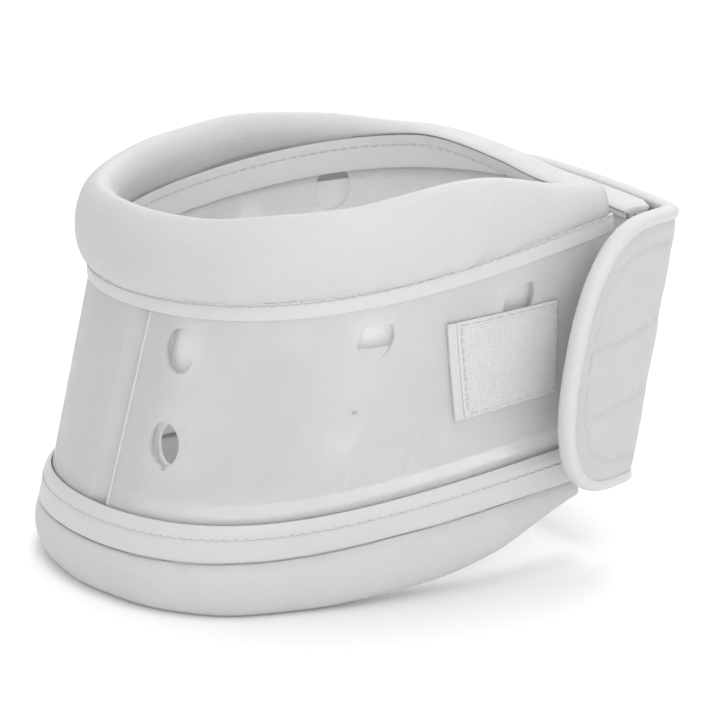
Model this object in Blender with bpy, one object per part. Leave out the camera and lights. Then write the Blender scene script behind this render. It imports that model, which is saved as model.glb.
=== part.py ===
"""Two-piece, height-adjustable cervical collar with a padded chin roll, a padded lower edge and a hook-and-loop strap.

The chin faces -X, the closure faces +X and +Z is up. Lengths are in millimetres and are turned into metres when a
mesh is made. The collar stands on the underside of its lower pad.
"""

import math

import bmesh
import bpy
from mathutils import Vector

MM = 0.001
SHIFT_X = 8.5
SHIFT_Y = 1.22
SHIFT_Z = 2.5
INSET = 1.2

# The top line of the shell seen from above: x is A1 cos + A2 cos 2, y is B1 sin + B2 sin 2 + B3 sin 3.
# t runs from the near end through 1.0 at the chin to the far end, and pi t is the angle in those sums.
A1, A2 = 70.0, -2.0
B1, B2, B3 = 48.0, -12.0, -6.0
T_NEAR_LINE, T_FAR_LINE = 1.75, 0.34
NEAR_SPEED, FAR_SPEED = 185.0, 243.0
FAR_BEND_R = 250.0
T_NEAR_TOP, T_NEAR_LOW = 1.804, 1.869
T_FAR_END = 0.166

# Heights before the shell is tilted.
Z_STITCH, Z_RIM, Z_BASE = 82.0, 77.6, 12.0
LEAN = 21.7
CONE_FRONT, CONE_NEAR_END, CONE_FAR_END = -8.0, 3.5, 5.0
TILT = 0.0976
LIFT_BACK = 5.0

# Plastic sheets: how far out from the line each face is.
SHEET_IN, SHEET_OUT = 0.75, 1.65
JOGGLE = 1.2
BAND_IN, BAND_OUT = -2.6, -1.7
Z_PANEL_LOW, Z_PANEL_TOP = 12.8, 77.3
Z_BAND_LOW = 26.0
BAND_TOP_FLAT, RIM_LIFT = 80.2, 7.4
LAP_T, LAP_WIDE_T = 0.25, 0.035

# Tapes.
TAPE_Z0, TAPE_Z1 = 77.6, 81.8
INNER_TAPE_Z0 = 80.8
BASE_TAPE_Z0, BASE_TAPE_Z1 = 12.2, 22.1
GAP = 0.3

# Vent holes, as (t, height of the middle).
VENT_W, VENT_H = 8.7, 11.7
VENTS_NEAR = ((1.304, 68.0), (1.314, 42.4), (1.526, 68.2), (1.680, 67.8))
VENTS_FAR = ((0.692, 68.2), (0.682, 42.6), (0.600, 63.8), (0.430, 68.0))
VENTS_BAND = ((1.330, 56.6), (1.316, 41.4), (1.534, 57.2), (1.536, 42.3), (0.600, 76.3), (0.680, 55.6),
              (0.470, 58.4), (0.464, 42.3))

# Strap.
STRAP_MID = 6.9
STRAP_Z0, STRAP_Z1 = 12.6, 83.5
T_ROOT = 0.41
FOLD_D_TOP, FOLD_D_LOW = 47.5, 56.5
FOLD_R = 2.1
FOLD_CLEAR = 2.7
FOLD_TURN = -54.0
TAB_CURL = -16.0
TAB_LENGTH = 37.0
TAB_STRAIGHT = 9.0
FACE_T, FOAM_T = 0.6, 1.6
BIND_WIDE, BIND_T = 3.4, 0.6


def clear_scene():
    for item in list(bpy.data.objects):
        bpy.data.objects.remove(item, do_unlink=True)
    for block in list(bpy.data.collections):
        bpy.data.collections.remove(block)


def new_collection(name):
    made = bpy.data.collections.new(name)
    bpy.context.scene.collection.children.link(made)
    return made


def smooth(a, b, x):
    s = min(1.0, max(0.0, (x - a) / (b - a)))
    return s * s * (3.0 - 2.0 * s)


def fourier(t):
    p = math.pi * t
    x = A1 * math.cos(p) + A2 * math.cos(2 * p)
    y = B1 * math.sin(p) + B2 * math.sin(2 * p) + B3 * math.sin(3 * p)
    return x, y


def fourier_heading(t):
    """Direction of falling t, which goes from the near end round the chin to the far end."""
    p = math.pi * t
    dx = A1 * math.sin(p) + 2 * A2 * math.sin(2 * p)
    dy = -B1 * math.cos(p) - 2 * B2 * math.cos(2 * p) - 3 * B3 * math.cos(3 * p)
    n = math.hypot(dx, dy)
    return dx / n, dy / n


def line_at(t):
    """Point and heading of the top line, with straight near end and gently curved far end."""
    if t > T_NEAR_LINE:
        x, y = fourier(T_NEAR_LINE)
        hx, hy = fourier_heading(T_NEAR_LINE)
        run = (t - T_NEAR_LINE) * NEAR_SPEED
        return x - hx * run, y - hy * run, hx, hy
    if t < T_FAR_LINE:
        x, y = fourier(T_FAR_LINE)
        hx, hy = fourier_heading(T_FAR_LINE)
        turn = (T_FAR_LINE - t) * FAR_SPEED / FAR_BEND_R
        start = math.atan2(hy, hx)
        end = start - turn
        x += FAR_BEND_R * (math.sin(start) - math.sin(end))
        y += FAR_BEND_R * (math.cos(end) - math.cos(start))
        return x, y, math.cos(end), math.sin(end)
    x, y = fourier(t)
    hx, hy = fourier_heading(t)
    return x, y, hx, hy


def far_t(distance):
    """The t that lies so far past the start of the curved far end."""
    return T_FAR_LINE - distance / FAR_SPEED


def ends_weight(t):
    return max(smooth(1.5, 1.75, t), 1.0 - smooth(0.35, 0.6, t))


def shell(t, z, out):
    """A point of the collar's wall: along the line, up the wall, and out from it."""
    x, y, hx, hy = line_at(t)
    nx, ny = -hy, hx
    u = min(1.0, max(0.0, (Z_RIM - z) / (Z_RIM - Z_BASE)))
    w = ends_weight(t)
    cone_end = CONE_NEAR_END if t > 1.0 else CONE_FAR_END
    off = out - INSET + (CONE_FRONT + (cone_end - CONE_FRONT) * w) * u
    up = z + TILT * math.cos(math.pi * max(t, 0.36)) * max(0.0, min(z, Z_STITCH)) + LIFT_BACK * w * u + SHIFT_Z
    return Vector((x + nx * off - LEAN * u + SHIFT_X, y + ny * off + SHIFT_Y, up))


def near_end(z):
    u = (Z_RIM - z) / (Z_RIM - Z_BASE)
    return T_NEAR_TOP + (T_NEAR_LOW - T_NEAR_TOP) * u


def rim_rise(t):
    """1 where the band stands high inside the roll, falling to 0 at its two ends."""
    return smooth(0.30, 0.50, t) * (1.0 - 0.80 * smooth(1.64, 1.80, t))


def roll_size(t):
    """1 where the chin roll is full, falling to nothing at its two ends."""
    return smooth(0.44, 0.78, t) * (1.0 - 0.86 * smooth(1.60, 1.81, t))


def raised(flat, t):
    """An outline of the rim's folded end, lifted with the band's top edge."""
    lift = RIM_LIFT * rim_rise(t)
    return [(out, z + lift if z > 79.9 else z) for out, z in flat]


def band_top(t):
    k = roll_size(t)
    return BAND_TOP_FLAT + RIM_LIFT * (rim_rise(t) * (1.0 - k) + k)


def same(outline, t):
    return outline


def pad_size(t):
    return (0.12 + 0.88 * smooth(0.30, 0.62, t)) * (1.0 - 0.80 * smooth(1.58, 1.86, t))


def between(a, b, n):
    return [a + (b - a) * i / (n - 1) for i in range(n)]


def mix(flat, full, k):
    return [(a[0] + (b[0] - a[0]) * k, a[1] + (b[1] - a[1]) * k) for a, b in zip(flat, full)]


def make_object(name, collection, points, faces, round_piece=True, parent=None):
    mesh = bpy.data.meshes.new(name)
    bm = bmesh.new()
    verts = [bm.verts.new(Vector(p) * MM) for p in points]
    for face in faces:
        bm.faces.new([verts[i] for i in face])
    bmesh.ops.recalc_face_normals(bm, faces=bm.faces)
    if bm.calc_volume(signed=True) < 0:
        bmesh.ops.reverse_faces(bm, faces=bm.faces)
    for face in bm.faces:
        face.smooth = round_piece
    bm.to_mesh(mesh)
    bm.free()
    made = bpy.data.objects.new(name, mesh)
    collection.objects.link(made)
    if parent is not None:
        made.parent = parent
        made.matrix_parent_inverse = parent.matrix_world.inverted()
    return made


def slab(name, collection, surface, us, edge, inner, outer, rows=2, parent=None):
    """A sheet between two offsets of a surface. edge(u) gives the low and high ends of v."""
    points, faces = [], []
    for u in us:
        low, high = edge(u)
        inside = inner(u) if callable(inner) else inner
        outside = outer(u) if callable(outer) else outer
        for out in (inside, outside):
            for v in between(low, high, rows):
                points.append(surface(u, v, out))
    ring = 2 * rows
    loop = list(range(rows)) + list(range(ring - 1, rows - 1, -1))
    for i in range(len(us) - 1):
        for j in range(ring):
            a, b = loop[j], loop[(j + 1) % ring]
            faces.append((i * ring + a, i * ring + b, (i + 1) * ring + b, (i + 1) * ring + a))
    last = (len(us) - 1) * ring
    for j in range(rows - 1):
        faces.append((j, rows + j, rows + j + 1, j + 1))
        faces.append((last + j, last + j + 1, last + rows + j + 1, last + rows + j))
    return make_object(name, collection, points, faces, True, parent)


def tube(name, collection, stations, parent=None):
    """A loft through closed outlines with equally many points, capped at both ends."""
    count = len(stations[0])
    points = [p for outline in stations for p in outline]
    faces = []
    for i in range(len(stations) - 1):
        for j in range(count):
            k = (j + 1) % count
            faces.append((i * count + j, i * count + k, (i + 1) * count + k, (i + 1) * count + j))
    faces.append(tuple(range(count)))
    last = (len(stations) - 1) * count
    faces.append(tuple(last + j for j in range(count)))
    return make_object(name, collection, points, faces, True, parent)


# Roll: outline of its cover and of its foam, as (out, height), for its plain folded end and for its full size.
RIM_FLAT_OUT = ((0.8, 78.6), (0.8, 80.3), (0.75, 80.9), (0.6, 81.4), (0.2, 81.8), (-0.4, 82.05), (-1.1, 82.2),
                (-1.8, 82.2), (-2.5, 82.05), (-3.1, 81.8), (-3.5, 81.4), (-3.65, 81.0), (-3.7, 80.6), (-3.7, 79.8),
                (-3.7, 78.6))
RIM_FULL_OUT = ((0.8, 78.6), (0.8, 81.9), (1.6, 82.7), (3.6, 84.6), (4.7, 88.4), (4.5, 93.6), (2.4, 98.8),
                (-1.0, 101.4), (-4.3, 100.2), (-6.2, 96.8), (-6.1, 92.9), (-5.0, 90.6), (-3.9, 89.5), (-3.7, 85.0),
                (-3.7, 78.6))
RIM_FLAT_IN = ((-2.9, 78.6), (-2.9, 79.7), (-2.9, 80.3), (-2.85, 80.6), (-2.75, 80.8), (-2.6, 80.95), (-2.4, 81.05),
               (-2.1, 81.1), (-1.9, 81.1), (-1.7, 81.0), (-1.55, 80.85), (-1.45, 80.7), (-1.4, 80.5), (-1.35, 80.2),
               (-1.35, 78.6))
RIM_FULL_IN = ((-2.9, 78.6), (-2.9, 85.0), (-2.95, 88.6), (-4.0, 90.8), (-5.1, 93.2), (-5.2, 96.5), (-3.7, 99.2),
               (-1.0, 100.3), (1.8, 98.0), (3.5, 93.3), (3.7, 88.6), (2.9, 85.5), (0.9, 83.6), (-1.35, 82.6),
               (-1.35, 78.6))
RIM_FOAM_FLAT = ((-1.65, 80.72), (-1.6, 80.76), (-1.6, 80.8), (-1.65, 80.84), (-1.8, 80.86), (-2.0, 80.88),
                 (-2.2, 80.88), (-2.35, 80.86), (-2.45, 80.82), (-2.5, 80.78), (-2.4, 80.74), (-2.0, 80.72))
RIM_FOAM_FULL = ((-1.3, 83.2), (0.7, 84.1), (2.5, 85.9), (3.3, 88.7), (3.1, 93.1), (1.5, 97.6), (-1.0, 99.9),
                 (-3.4, 98.8), (-4.8, 96.3), (-4.7, 93.4), (-3.5, 90.9), (-1.3, 88.7))

# Lower pad: the same for the folded and for the full size.
PAD_FLAT_OUT = ((2.5, 20.5), (2.5, 13.2), (2.45, 12.5), (2.4, 12.1), (2.3, 11.8), (2.0, 11.6), (1.4, 11.45),
                (0.7, 11.4), (0.0, 11.45), (-0.6, 11.6), (-1.1, 11.8), (-1.4, 12.1), (-1.55, 12.5), (-1.6, 13.2),
                (-1.6, 20.5))
PAD_FULL_OUT = ((2.5, 20.5), (2.5, 12.4), (3.1, 11.4), (4.4, 9.2), (4.8, 5.6), (4.2, 1.6), (2.8, -1.2),
                (0.6, -2.5), (-2.4, -2.5), (-5.2, 0.0), (-6.3, 5.0), (-5.2, 9.6), (-3.0, 12.0), (-1.6, 13.2),
                (-1.6, 20.5))
PAD_FLAT_IN = ((-0.75, 20.5), (-0.75, 13.4), (-0.72, 13.0), (-0.65, 12.75), (-0.5, 12.55), (-0.3, 12.42),
               (0.0, 12.34), (0.5, 12.3), (1.0, 12.3), (1.4, 12.34), (1.65, 12.42), (1.8, 12.55), (1.9, 12.8),
               (1.95, 13.2), (1.95, 20.5))
PAD_FULL_IN = ((-0.75, 20.5), (-0.75, 13.4), (-2.3, 11.2), (-4.2, 9.1), (-5.1, 5.6), (-4.8, 1.9), (-3.2, -0.5),
               (-0.8, -1.4), (1.5, -0.5), (3.0, 1.9), (3.7, 5.6), (3.3, 8.8), (2.3, 10.7), (1.95, 12.6), (1.95, 20.5))
PAD_FOAM_FLAT = ((1.5, 12.44), (1.5, 12.42), (1.4, 12.4), (1.2, 12.38), (1.0, 12.36), (0.7, 12.36), (0.4, 12.36),
                 (0.1, 12.38), (0.0, 12.4), (-0.1, 12.42), (0.0, 12.44), (0.7, 12.44))
PAD_FOAM_FULL = ((1.8, 10.4), (2.8, 8.5), (3.2, 5.6), (2.6, 2.2), (1.2, 0.1), (-0.8, -0.8), (-2.9, 0.0),
                 (-4.3, 2.2), (-4.6, 5.6), (-3.7, 8.8), (-2.0, 10.6), (0.2, 11.4))


def skin(name, collection, ts, flat_out, full_out, flat_in, full_in, size, lifted=same, parent=None):
    """A cover that wraps foam and reaches past the edge of the sheet on both sides."""
    stations = []
    for s in ts:
        t = stretch(s, 80.0)
        outline = mix(lifted(flat_out, t), full_out, size(t)) + mix(lifted(flat_in, t), full_in, size(t))
        stations.append([shell(stretch(s, z), z, out) for out, z in outline])
    return tube(name, collection, stations, parent)


def foam(name, collection, ts, flat, full, size, lifted=same, parent=None):
    stations = []
    for s in ts:
        t = stretch(s, 80.0)
        outline = mix(lifted(flat, t), full, size(t))
        stations.append([shell(stretch(s, z), z, out) for out, z in outline])
    return tube(name, collection, stations, parent)


def stretch(s, z):
    """t for a share s of the way along the wall, so that the near end follows its slanting edge."""
    t0 = near_end(z)
    return t0 + (T_FAR_END - t0) * s


def share(t):
    return (T_NEAR_TOP - t) / (T_NEAR_TOP - T_FAR_END)


def wall_surface(s, z, out):
    return shell(stretch(s, z), z, out)


def band_surface(s, v, out):
    """The band's own surface: v is 0 at its lower edge, 2 where its lean stops and 3 at its top edge."""
    if v <= 2.0:
        return wall_surface(s, Z_BAND_LOW + (Z_RIM - Z_BAND_LOW) * v / 2.0, out)
    top = band_top(stretch(s, 80.0))
    return wall_surface(s, Z_RIM + (top - Z_RIM) * (v - 2.0), out)


def plain_surface(t, z, out):
    return shell(t, z, out)


def vent_cutter(name, collection, t, z, depth):
    """An oval plug that points out of the wall."""
    centre = shell(t, z, 0.0)
    out = (shell(t, z, 5.0) - centre).normalized()
    up = (shell(t, z + 1.0, 0.0) - shell(t, z - 1.0, 0.0)).normalized()
    side = up.cross(out).normalized()
    up = out.cross(side).normalized()
    rings = []
    for distance in depth:
        ring = []
        for i in range(20):
            a = 2 * math.pi * i / 20
            ring.append(centre + out * distance + side * (VENT_W / 2 * math.cos(a)) + up * (VENT_H / 2 * math.sin(a)))
        rings.append(ring)
    return tube(name, collection, rings)


def cut_vents(sheet, vents, depth, cutters):
    for i, (t, z) in enumerate(vents):
        plug = vent_cutter("cut_" + sheet.name + "_" + str(i), cutters, t, z, depth)
        plug.hide_render = True
        plug.display_type = "WIRE"
        cut = sheet.modifiers.new("vent_" + str(i), "BOOLEAN")
        cut.operation = "DIFFERENCE"
        cut.solver = "EXACT"
        cut.object = plug


def front_mid(t):
    return JOGGLE * (1.0 - smooth(0.205, 0.243, abs(t - 1.0))) - 0.45


def build_lower_shell(collection, cutters):
    """The outer shell: a chin panel with its two ends joggled in, and a side panel lapped over each of them."""
    chin_ts = between(1.0 + LAP_T + LAP_WIDE_T, 1.0 + 0.24, 4) + between(1.0 + 0.235, 1.0 - 0.235, 41)
    chin_ts += between(1.0 - 0.24, 1.0 - LAP_T - LAP_WIDE_T, 4)
    slab("chin_panel", collection, plain_surface, chin_ts, lambda t: (Z_PANEL_LOW, Z_PANEL_TOP), front_mid,
         lambda t: front_mid(t) + 0.9, rows=3)
    lap = 1.0 + LAP_T

    def near_surface(s, z, out):
        t0 = near_end(z)
        return shell(t0 + (lap - t0) * s, z, out)

    near = slab("side_panel_near", collection, near_surface, between(0.0, 1.0, 40),
                lambda s: (Z_PANEL_LOW, Z_PANEL_TOP), SHEET_IN, SHEET_OUT, rows=3)
    cut_vents(near, VENTS_NEAR, (0.2, 2.6), cutters)
    far = slab("side_panel_far", collection, plain_surface, between(1.0 - LAP_T, T_FAR_END, 40),
               lambda t: (Z_PANEL_LOW, Z_PANEL_TOP), SHEET_IN, SHEET_OUT, rows=3)
    cut_vents(far, VENTS_FAR, (0.2, 2.6), cutters)


def build_base(collection):
    """The padded lower edge: foam, its cover, and a binding tape on each face."""
    ts = between(0.0, 1.0, 52)
    skin("base_cover", collection, ts, PAD_FLAT_OUT, PAD_FULL_OUT, PAD_FLAT_IN, PAD_FULL_IN, pad_size)
    inner = between(share(1.77), share(0.36), 40)
    foam("base_foam", collection, inner, PAD_FOAM_FLAT, PAD_FOAM_FULL, pad_size)
    slab("base_tape_outer", collection, wall_surface, ts, lambda s: (BASE_TAPE_Z0, BASE_TAPE_Z1), 2.8, 3.4)
    slab("base_tape_inner", collection, wall_surface, ts, lambda s: (13.6, BASE_TAPE_Z1), -2.7, -1.9)


def build_upper(collection, parent, cutters):
    """The sliding half: the band with vents, and the chin roll sewn over its top edge."""
    band = slab("inner_band", collection, band_surface, between(0.004, 0.996, 64), lambda s: (0.0, 3.0),
                BAND_IN, BAND_OUT, rows=4, parent=parent)
    cut_vents(band, VENTS_BAND, (-3.6, -0.9), cutters)
    ts = between(0.0, 1.0, 54)
    skin("rim_cover", collection, ts, RIM_FLAT_OUT, RIM_FULL_OUT, RIM_FLAT_IN, RIM_FULL_IN, roll_size, raised,
         parent)
    inner = between(share(1.75), share(0.60), 38)
    foam("rim_foam", collection, inner, RIM_FOAM_FLAT, RIM_FOAM_FULL, roll_size, raised, parent)
    slab("rim_tape_outer", collection, wall_surface, ts, lambda s: (TAPE_Z0, TAPE_Z1), 1.1, 2.2, parent=parent)
    slab("rim_tape_inner", collection, wall_surface, ts, lambda s: (INNER_TAPE_Z0, band_top(stretch(s, 80.0)) + 1.0),
         -4.7, -4.0, parent=parent)


def build_height_fasteners(collection, parent):
    """A hook strip on each side panel and the loop strip on the band that it grips."""
    for side, low, high in (("near", 1.475, 1.395), ("far", 0.590, 0.500)):
        slab("height_hook_" + side, collection, plain_surface, between(low, high, 9), lambda t: (34.0, 62.0),
             -0.2, 0.45)
        slab("height_loop_" + side, collection, plain_surface, between(low, high, 9), lambda t: (31.0, 66.0),
             -1.4, -0.5, parent=parent)


def patch_surface(s, v, out):
    t = 1.600 + 0.134 * s + (0.050 - 0.002 * s) * (1.0 - v)
    z = 39.5 - 1.0 * s + (28.3 - 2.5 * s) * v
    return shell(t, z, out)


def build_patch(collection):
    """The square hook patch on the near panel, and the selvedge tape that holds its front edge."""
    slab("hook_patch", collection, patch_surface, between(0.065, 1.0, 12), lambda s: (0.0, 1.0), 1.95, 2.85)
    slab("patch_selvedge", collection, patch_surface, between(0.0, 0.055, 3), lambda s: (0.0, 1.0), 1.95, 2.35)


def fold_point(z):
    u = (Z_RIM - z) / (Z_RIM - Z_BASE)
    return far_t(FOLD_D_TOP + (FOLD_D_LOW - FOLD_D_TOP) * u)


def fold_axis():
    low = shell(fold_point(STRAP_Z0), STRAP_Z0, STRAP_MID)
    high = shell(fold_point(STRAP_Z1), STRAP_Z1, STRAP_MID)
    return low, high


def root_surface(s, v, out):
    """The strap's fixed part. s goes from its sewn end to the fold and v from its low to its high edge."""
    ends = []
    for z in (STRAP_Z0, STRAP_Z1):
        t = T_ROOT + (fold_point(z) + FOLD_CLEAR / FAR_SPEED - T_ROOT) * s
        ends.append(shell(t, z, STRAP_MID + out))
    return ends[0].lerp(ends[1], v)


def tab_frame():
    """Origin on the fold axis at its low end, the axis, and the plane that the tab starts in."""
    low, high = fold_axis()
    up = (high - low).normalized()
    x, y, hx, hy = line_at(fold_point(STRAP_Z0))
    ahead = Vector((hx, hy, 0.0))
    ahead = (ahead - up * ahead.dot(up)).normalized()
    side = up.cross(ahead).normalized()
    return low, high, up, ahead, side


TAB_LOW, TAB_HIGH, TAB_UP, TAB_AHEAD, TAB_SIDE = tab_frame()
TAB_TALL = (TAB_HIGH - TAB_LOW).length


def tab_surface(run, rise, out):
    """run: millimetres from the fold; rise: up the fold axis; out: away from the neck."""
    turn = math.radians(FOLD_TURN)
    curl = math.radians(TAB_CURL) / TAB_LENGTH
    heading = turn + curl * run
    if abs(curl) > 1e-9:
        a = (math.sin(heading) - math.sin(turn)) / curl
        b = (math.cos(turn) - math.cos(heading)) / curl
    else:
        a, b = run * math.cos(turn), run * math.sin(turn)
    ahead = TAB_AHEAD * a + TAB_SIDE * b
    normal = -TAB_AHEAD * math.sin(heading) + TAB_SIDE * math.cos(heading)
    return TAB_LOW + TAB_UP * rise + ahead + normal * out


def tab_edge(run, inset=0.0):
    """Low and high edge of the tab at that distance from the fold: a deep rounded tip."""
    length = TAB_LENGTH - inset
    half = TAB_TALL / 2 - inset
    s = min(1.0, max(0.0, (run - TAB_STRAIGHT) / (length - TAB_STRAIGHT)))
    tall = half * (1.0 - s ** 3.0) ** (1 / 2.4)
    middle = TAB_TALL / 2
    return middle - tall, middle + tall


def tab_border(count):
    """Points on the tab's outline with the direction that points inwards, in the tab's own plane."""
    outline = []
    for i in range(17):
        outline.append((FOLD_CLEAR + (TAB_STRAIGHT - FOLD_CLEAR) * i / 16, tab_edge(0.0)[0]))
    for i in range(1, 120):
        s = math.sin(math.pi / 2 * i / 120)
        run = TAB_STRAIGHT + (TAB_LENGTH - TAB_STRAIGHT) * s
        outline.append((run, tab_edge(run)[0]))
    outline.append((TAB_LENGTH, TAB_TALL / 2))
    mirrored = [(r, TAB_TALL - z) for r, z in reversed(outline[:-1])]
    outline += mirrored
    lengths = [0.0]
    for a, b in zip(outline[:-1], outline[1:]):
        lengths.append(lengths[-1] + math.hypot(b[0] - a[0], b[1] - a[1]))
    picked = []
    for i in range(count):
        want = lengths[-1] * i / (count - 1)
        j = 0
        while j < len(lengths) - 2 and lengths[j + 1] < want:
            j += 1
        f = (want - lengths[j]) / max(1e-9, lengths[j + 1] - lengths[j])
        a, b = outline[j], outline[j + 1]
        d = Vector((b[0] - a[0], b[1] - a[1])).normalized()
        picked.append((a[0] + (b[0] - a[0]) * f, a[1] + (b[1] - a[1]) * f, -d.y, d.x))
    return picked


def channel(half, reach):
    """A U-shaped binding: how far in from the edge, and how far out from the middle."""
    return ((reach, half + BIND_T), (0.5, half + BIND_T), (-0.25, half * 0.6), (-0.5, 0.0), (-0.25, -half * 0.6),
            (0.5, -half - BIND_T), (reach, -half - BIND_T), (reach, -half), (0.9, -half), (0.45, -half * 0.6),
            (0.3, 0.0), (0.45, half * 0.6), (0.9, half), (reach, half))


def build_strap_root(collection):
    """The padded strap sewn to the far panel: face fabric, foam, loop lining and a binding on each edge."""
    half_foam = FOAM_T / 2
    us = between(0.03, 1.0, 22)
    inset = 0.022
    edges = (inset, 1.0 - inset)
    slab("strap_foam", collection, root_surface, us, lambda s: edges, -half_foam, half_foam, rows=3)
    slab("strap_face", collection, root_surface, us, lambda s: edges, half_foam + GAP, half_foam + GAP + FACE_T,
         rows=3)
    slab("strap_lining", collection, root_surface, us, lambda s: edges, -half_foam - GAP - FACE_T,
         -half_foam - GAP, rows=3)
    half = half_foam + 2 * GAP + FACE_T
    tall = STRAP_Z1 - STRAP_Z0
    for name, sign, edge in (("strap_binding_low", 1.0, 0.0), ("strap_binding_high", -1.0, 1.0)):
        stations = []
        for s in us:
            stations.append([root_surface(s, edge + sign * (a + 0.5) / tall, o) for a, o in channel(half, BIND_WIDE)])
        tube(name, collection, stations)

    def anchor_surface(s, v, side):
        """Side 0 lies on the panel and side 1 under the strap's lining."""
        if side == 1:
            return root_surface(s, v, -half - BIND_T - GAP)
        z = STRAP_Z0 + tall * v
        return shell(T_ROOT + (fold_point(z) - T_ROOT) * s, z, SHEET_OUT + GAP)

    slab("strap_anchor", collection, anchor_surface, between(0.03, 0.16, 5), lambda s: (0.2, 0.86), 0, 1, rows=3)


def build_tab(collection, parent):
    """The strap's loose tab, which folds round and presses on the hook patch."""
    half_foam = FOAM_T / 2
    runs = [FOLD_CLEAR, 6.0, TAB_STRAIGHT]
    tip = TAB_LENGTH - 2.0
    for i in range(1, 15):
        runs.append(TAB_STRAIGHT + (tip - 0.15 - TAB_STRAIGHT) * math.sin(math.pi / 2 * i / 14))

    def edge(run):
        return tab_edge(run, 2.0)

    slab("tab_foam", collection, tab_surface, runs, edge, -half_foam, half_foam, rows=5, parent=parent)
    slab("tab_face", collection, tab_surface, runs, edge, half_foam + GAP, half_foam + GAP + FACE_T, rows=5,
         parent=parent)
    slab("tab_loop_lining", collection, tab_surface, runs, edge, -half_foam - GAP - FACE_T, -half_foam - GAP,
         rows=5, parent=parent)
    half = half_foam + 2 * GAP + FACE_T
    stations = []
    for run, rise, ix, iy in tab_border(56):
        stations.append([tab_surface(run + ix * (a + 0.5), rise + iy * (a + 0.5), o)
                         for a, o in channel(half, BIND_WIDE)])
    tube("tab_binding", collection, stations, parent)
    ring = []
    for height in (1.2, TAB_TALL - 1.2):
        ring.append([TAB_LOW + TAB_UP * height + TAB_AHEAD * (FOLD_R * math.cos(a)) + TAB_SIDE * (FOLD_R * math.sin(a))
                     for a in [2 * math.pi * i / 16 for i in range(16)]])
    tube("strap_fold", collection, ring, parent)


MATERIALS = {
    "clear_sheet": (0.80, 0.80, 0.80, 0.35),
    "band_sheet": (0.76, 0.76, 0.76, 0.40),
    "vinyl": (0.72, 0.72, 0.72, 0.50),
    "tape": (0.74, 0.74, 0.74, 0.45),
    "foam": (0.85, 0.84, 0.80, 0.90),
    "strap_fabric": (0.78, 0.78, 0.78, 0.80),
    "binding": (0.82, 0.82, 0.82, 0.70),
    "hook": (0.80, 0.80, 0.80, 0.60),
    "loop": (0.82, 0.82, 0.82, 0.95),
}
SLOT_OF = {
    "chin_panel": "clear_sheet", "side_panel_near": "clear_sheet", "side_panel_far": "clear_sheet",
    "inner_band": "band_sheet", "base_cover": "vinyl", "rim_cover": "vinyl", "base_tape_outer": "tape",
    "base_tape_inner": "tape", "rim_tape_outer": "tape", "rim_tape_inner": "tape", "base_foam": "foam",
    "rim_foam": "foam", "strap_foam": "foam", "tab_foam": "foam", "strap_face": "strap_fabric",
    "tab_face": "strap_fabric", "strap_fold": "strap_fabric", "strap_binding_low": "binding",
    "strap_binding_high": "binding", "tab_binding": "binding", "patch_selvedge": "binding", "strap_anchor": "tape",
    "hook_patch": "hook", "height_hook_near": "hook", "height_hook_far": "hook", "height_loop_near": "loop",
    "height_loop_far": "loop", "strap_lining": "loop", "tab_loop_lining": "loop",
}


def paint(collection):
    """Every object gets its own material, with the look of its slot."""
    for item in collection.objects:
        if item.type != "MESH":
            continue
        r, g, b, rough = MATERIALS[SLOT_OF[item.name]]
        made = bpy.data.materials.new("mat_" + item.name)
        made.use_nodes = True
        shader = made.node_tree.nodes["Principled BSDF"]
        shader.inputs["Base Color"].default_value = (r, g, b, 1.0)
        shader.inputs["Roughness"].default_value = rough
        item.data.materials.append(made)


def main():
    clear_scene()
    collar = new_collection("cervical_collar")
    cutters = new_collection("cutters")
    cutters.hide_render = True
    upper = bpy.data.objects.new("upper_slide", None)
    collar.objects.link(upper)
    tab = bpy.data.objects.new("tab_hinge", None)
    tab.location = TAB_LOW * MM
    collar.objects.link(tab)
    bpy.context.view_layer.update()
    build_lower_shell(collar, cutters)
    build_base(collar)
    build_upper(collar, upper, cutters)
    build_height_fasteners(collar, upper)
    build_patch(collar)
    build_strap_root(collar)
    build_tab(collar, tab)
    paint(collar)


main()
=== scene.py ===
"""Looks of a two-piece cervical collar: chin roll, translucent shell, padded lower edge and hook-and-loop strap.

Lengths are in millimetres and are turned into metres when a mesh is made. The chin faces -X and +Z is up.
"""

import math
import random

import bmesh
import bpy
from mathutils import Matrix, Vector, noise


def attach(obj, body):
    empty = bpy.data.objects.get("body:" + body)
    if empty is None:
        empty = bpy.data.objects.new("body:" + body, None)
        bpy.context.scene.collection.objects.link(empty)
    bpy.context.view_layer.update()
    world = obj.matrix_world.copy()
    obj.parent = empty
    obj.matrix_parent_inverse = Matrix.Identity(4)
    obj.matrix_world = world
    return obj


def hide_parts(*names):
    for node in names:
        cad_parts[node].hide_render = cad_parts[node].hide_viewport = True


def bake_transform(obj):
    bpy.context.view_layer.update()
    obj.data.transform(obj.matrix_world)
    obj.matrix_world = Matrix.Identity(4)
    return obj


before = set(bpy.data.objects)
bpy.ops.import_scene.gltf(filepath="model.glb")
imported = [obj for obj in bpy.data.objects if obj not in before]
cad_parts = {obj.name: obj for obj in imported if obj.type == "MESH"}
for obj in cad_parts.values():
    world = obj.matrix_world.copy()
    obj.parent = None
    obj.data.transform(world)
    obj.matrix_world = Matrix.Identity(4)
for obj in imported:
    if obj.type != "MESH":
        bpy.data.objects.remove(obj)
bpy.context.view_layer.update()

MM = 0.001

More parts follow.
